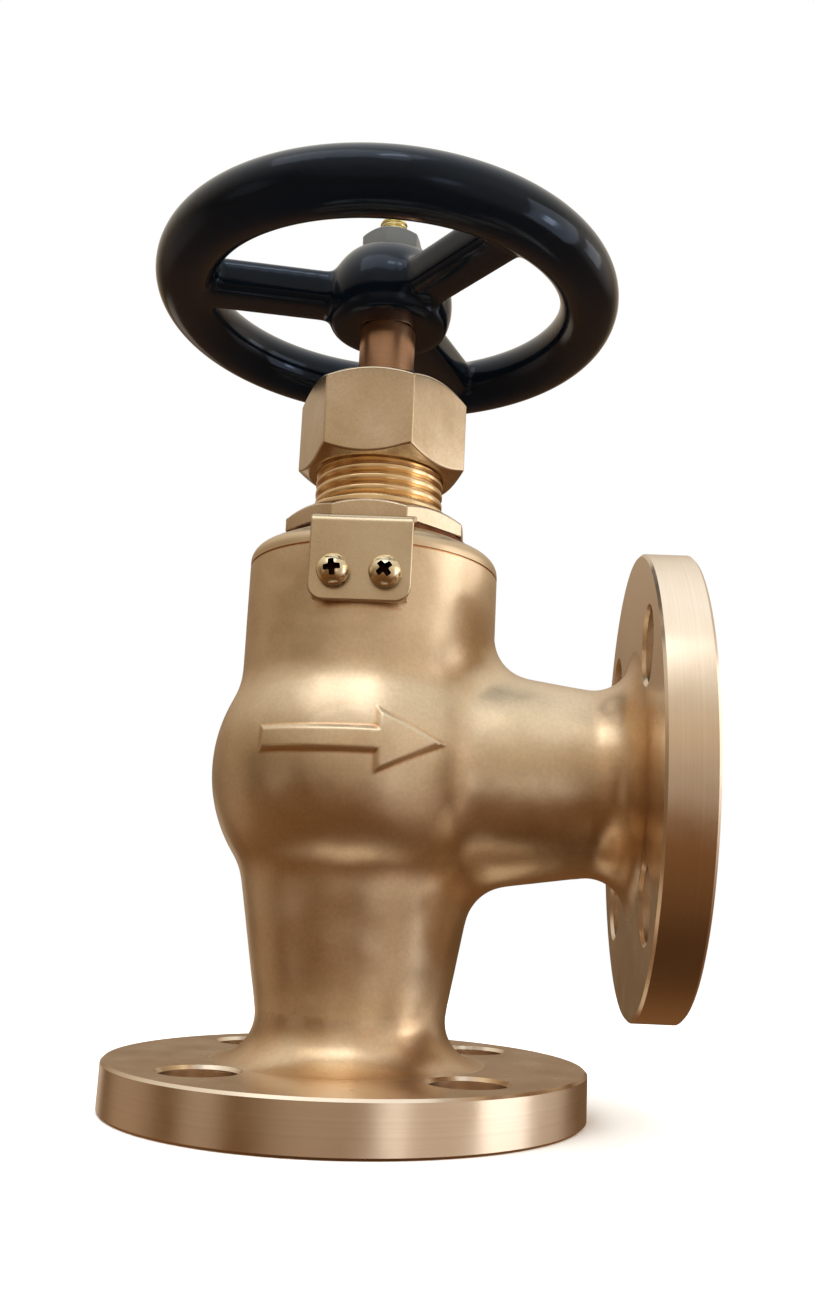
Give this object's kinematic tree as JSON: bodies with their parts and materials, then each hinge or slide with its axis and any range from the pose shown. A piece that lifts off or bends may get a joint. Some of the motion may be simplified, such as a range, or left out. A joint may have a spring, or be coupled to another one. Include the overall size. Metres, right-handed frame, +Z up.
{
  "type": "flanged angle valve",
  "caption": "Flanged bronze angle valve: an inlet flange below, an outlet flange at the side, and a rising stem with packed gland, hexagon gland nut and round spoked handwheel.",
  "frame": {"origin": "centre of the inlet flange's face", "axes": "+Z up the stem, away from the inlet; +X towards the outlet flange; -Y to the side of the lock plate"},
  "size_m": [0.1519, 0.1338, 0.2528],
  "materials": {
    "cast_bronze": "blasted casting, satin",
    "machined_bronze": "turned and brushed",
    "plate_brass": "satin sheet",
    "screw_brass": "bright",
    "stem_brass": "turned, bright",
    "copper": "dull",
    "graphite": "dull",
    "steel": "bright",
    "black_enamel": "gloss",
    "grey_enamel": "semi-gloss"
  },
  "bodies": {
    "valve": {"valve_body": "cast_bronze", "seat_ring": "machined_bronze", "bonnet_gasket": "copper", "bonnet": "machined_bronze", "lock_plate": "plate_brass", "lock_plate_washers": "steel", "lock_plate_screws": "screw_brass", "packing_washer": "machined_bronze", "packing_ring_1": "graphite", "packing_ring_2": "graphite", "packing_ring_3": "graphite", "packing_ring_4": "graphite"},
    "disc_carrier": {"disc": "machined_bronze", "thrust_pad": "steel", "disc_nut": "machined_bronze", "disc_nut_pin": "steel"},
    "spindle": {"stem": "stem_brass", "handwheel": "black_enamel", "handwheel_washer": "grey_enamel", "handwheel_nut": "grey_enamel"},
    "follower": {"gland": "machined_bronze"},
    "union_nut": {"gland_nut": "machined_bronze"}
  },
  "joints": [
    {"name": "disc_lift", "type": "slide", "parent": "valve", "child": "disc_carrier", "axis": [0, 0, 1], "range_m": [0, 0.008]},
    {"name": "wheel_turn", "type": "hinge", "parent": "disc_carrier", "child": "spindle", "pos_m": [0, 0, 0.2272], "axis": [0, 0, 1], "range_deg": [0, 720]},
    {"name": "gland_lift", "type": "slide", "parent": "valve", "child": "follower", "axis": [0, 0, 1], "range_m": [0, 0.006]},
    {"name": "gland_nut_turn", "type": "hinge", "parent": "follower", "child": "union_nut", "pos_m": [0, 0, 0.183], "axis": [0, 0, 1], "range_deg": [0, 720]}
  ],
  "couplings": [
    {"joint": "disc_lift", "follows": "wheel_turn", "m_per_rad": 0.00063662},
    {"joint": "gland_lift", "follows": "gland_nut_turn", "m_per_rad": 0.00047746}
  ]
}
